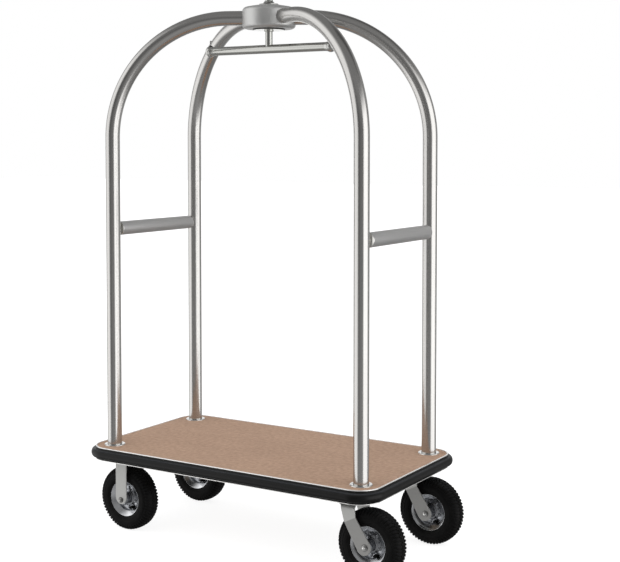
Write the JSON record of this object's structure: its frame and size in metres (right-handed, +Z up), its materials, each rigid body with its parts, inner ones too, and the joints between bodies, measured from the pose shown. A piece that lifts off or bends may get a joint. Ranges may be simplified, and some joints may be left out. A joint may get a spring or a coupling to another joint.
{
  "type": "luggage trolley",
  "caption": "Birdcage luggage trolley: carpeted deck with rubber bumper, bent tube arches, garment bar, fixed and swivel air-tyred casters.",
  "frame": {"origin": "on the floor under the middle of the overall length and width", "axes": "+Z up, +X towards the end with the swivel casters, Y across the deck"},
  "size_m": [1.217, 0.644, 1.9215],
  "materials": {
    "brushed_steel": "satin brushed along the tube",
    "bright_steel": "bright polished",
    "satin_casting": "fine satin cast",
    "dark_steel": "dark oiled",
    "zinc_sheet": "dull zinc plate",
    "rim_steel": "galvanised pressed sheet",
    "carpet_pile": "short tan pile",
    "plywood": "plain plywood",
    "black_paint": "black paint",
    "bumper_rubber": "smooth black rubber, soft sheen",
    "tyre_rubber": "matt black moulded rubber"
  },
  "bodies": {
    "frame": {"finial": "brushed_steel", "finial_collar": "brushed_steel", "crown_hub": "satin_casting", "hub_clamp_plate": "dark_steel", "hanger_post": "brushed_steel", "garment_bar": "brushed_steel", "deck_board": "plywood", "deck_carpet": "carpet_pile", "edge_channel": "bright_steel", "bumper": "bumper_rubber", "bar_end_cap_front": "brushed_steel", "bar_end_cap_rear": "brushed_steel", "hook_peg_front": "dark_steel", "hook_peg_rear": "dark_steel", "end_rail_front": "brushed_steel", "end_rail_rear": "brushed_steel", "caster_bearer_front": "black_paint", "caster_bearer_rear": "black_paint", "upright_front_left": "brushed_steel", "upright_front_right": "brushed_steel", "upright_rear_left": "brushed_steel", "upright_rear_right": "brushed_steel", "escutcheon_front_left": "bright_steel", "escutcheon_front_right": "bright_steel", "escutcheon_rear_left": "bright_steel", "escutcheon_rear_right": "bright_steel", "fork_front_left": "zinc_sheet", "fork_front_right": "zinc_sheet", "axle_bolt_front_left": "bright_steel", "axle_bolt_front_right": "bright_steel", "axle_nut_front_left": "bright_steel", "axle_nut_front_right": "bright_steel", "mount_plate_rear_left": "zinc_sheet", "mount_plate_rear_right": "zinc_sheet", "swivel_race_rear_left": "zinc_sheet", "swivel_race_rear_right": "zinc_sheet", "kingpin_rear_left": "bright_steel", "kingpin_rear_right": "bright_steel"},
    "front_left_wheel": {"tyre_front_left": "tyre_rubber", "rim_front_left": "rim_steel", "bearing_front_left": "dark_steel", "valve_stem_front_left": "tyre_rubber"},
    "front_right_wheel": {"tyre_front_right": "tyre_rubber", "rim_front_right": "rim_steel", "bearing_front_right": "dark_steel", "valve_stem_front_right": "tyre_rubber"},
    "rear_left_swivel": {"fork_rear_left": "zinc_sheet", "axle_bolt_rear_left": "bright_steel", "axle_nut_rear_left": "bright_steel"},
    "rear_left_wheel": {"tyre_rear_left": "tyre_rubber", "rim_rear_left": "rim_steel", "bearing_rear_left": "dark_steel", "valve_stem_rear_left": "tyre_rubber"},
    "rear_right_swivel": {"fork_rear_right": "zinc_sheet", "axle_bolt_rear_right": "bright_steel", "axle_nut_rear_right": "bright_steel"},
    "rear_right_wheel": {"tyre_rear_right": "tyre_rubber", "rim_rear_right": "rim_steel", "bearing_rear_right": "dark_steel", "valve_stem_rear_right": "tyre_rubber"}
  },
  "joints": [
    {"name": "front_left_wheel_spin", "type": "hinge", "parent": "frame", "child": "front_left_wheel", "pos_m": [-0.483, -0.206, 0.1125], "axis": [0, 1, 0], "continuous": true},
    {"name": "front_right_wheel_spin", "type": "hinge", "parent": "frame", "child": "front_right_wheel", "pos_m": [-0.483, 0.206, 0.1125], "axis": [0, 1, 0], "continuous": true},
    {"name": "rear_left_swivel_turn", "type": "hinge", "parent": "frame", "child": "rear_left_swivel", "pos_m": [0.4245, -0.209, 0.24], "axis": [0, 0, 1], "continuous": true},
    {"name": "rear_left_wheel_spin", "type": "hinge", "parent": "rear_left_swivel", "child": "rear_left_wheel", "pos_m": [0.496, -0.209, 0.1125], "axis": [0, 1, 0], "continuous": true},
    {"name": "rear_right_swivel_turn", "type": "hinge", "parent": "frame", "child": "rear_right_swivel", "pos_m": [0.4245, 0.209, 0.24], "axis": [0, 0, 1], "continuous": true},
    {"name": "rear_right_wheel_spin", "type": "hinge", "parent": "rear_right_swivel", "child": "rear_right_wheel", "pos_m": [0.496, 0.209, 0.1125], "axis": [0, 1, 0], "continuous": true}
  ]
}
